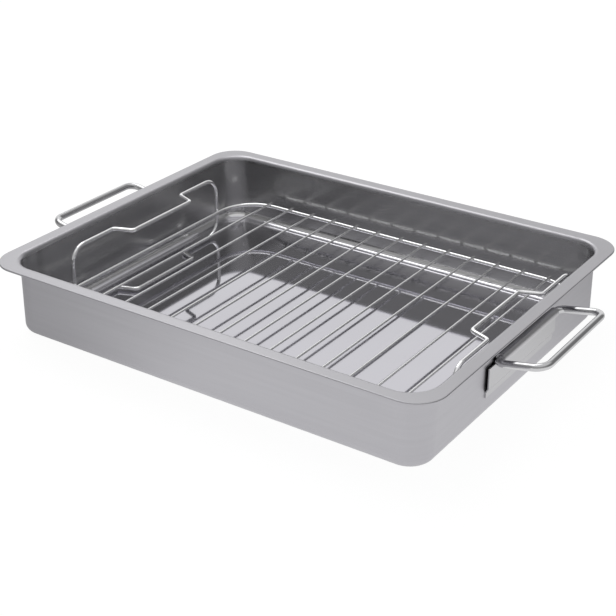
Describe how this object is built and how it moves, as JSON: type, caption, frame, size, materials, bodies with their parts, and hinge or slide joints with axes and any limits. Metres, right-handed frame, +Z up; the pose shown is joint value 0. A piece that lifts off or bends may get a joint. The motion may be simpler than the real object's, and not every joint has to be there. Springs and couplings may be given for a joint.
{
  "type": "roasting pan with rack",
  "caption": "Deep rectangular stainless roasting pan with a flat rim, fold-down wire handles and a loose wire rack that lifts out by end loops.",
  "frame": {"origin": "middle of the pan's underside, on the surface that it stands on", "axes": "+X along the pan's length towards the right handle, +Y across it towards the back wall, +Z up"},
  "size_m": [0.4896, 0.33, 0.0647],
  "materials": {
    "satin_sheet": "satin stainless sheet, fine brushed grain, floor brighter than the walls",
    "handle_wire": "smooth drawn stainless wire, half bright",
    "rack_wire": "bright polished wire"
  },
  "bodies": {
    "pan": {"pan_body": "satin_sheet", "left_bracket": "satin_sheet", "right_bracket": "satin_sheet"},
    "left_handle": {"left_handle": "handle_wire"},
    "right_handle": {"right_handle": "handle_wire"},
    "rack": {"rack_frame": "rack_wire", "left_loop": "rack_wire", "right_loop": "rack_wire", "cross_wire_01": "rack_wire", "cross_wire_02": "rack_wire", "cross_wire_03": "rack_wire", "cross_wire_04": "rack_wire", "cross_wire_05": "rack_wire", "cross_wire_06": "rack_wire", "cross_wire_07": "rack_wire", "cross_wire_08": "rack_wire", "cross_wire_09": "rack_wire", "cross_wire_10": "rack_wire", "cross_wire_11": "rack_wire", "cross_wire_12": "rack_wire", "cross_wire_13": "rack_wire"}
  },
  "joints": [
    {"name": "left_handle_hinge", "type": "hinge", "parent": "pan", "child": "left_handle", "pos_m": [-0.20307, 0, 0.0477], "axis": [0, 1, 0], "range_deg": [-97.5, 42.5]},
    {"name": "right_handle_hinge", "type": "hinge", "parent": "pan", "child": "right_handle", "pos_m": [0.20307, 0, 0.0477], "axis": [0, -1, 0], "range_deg": [-97.5, 42.5]},
    {"name": "rack_lift", "type": "slide", "parent": "pan", "child": "rack", "axis": [0, 0, 1], "range_m": [0, 0.12]}
  ]
}
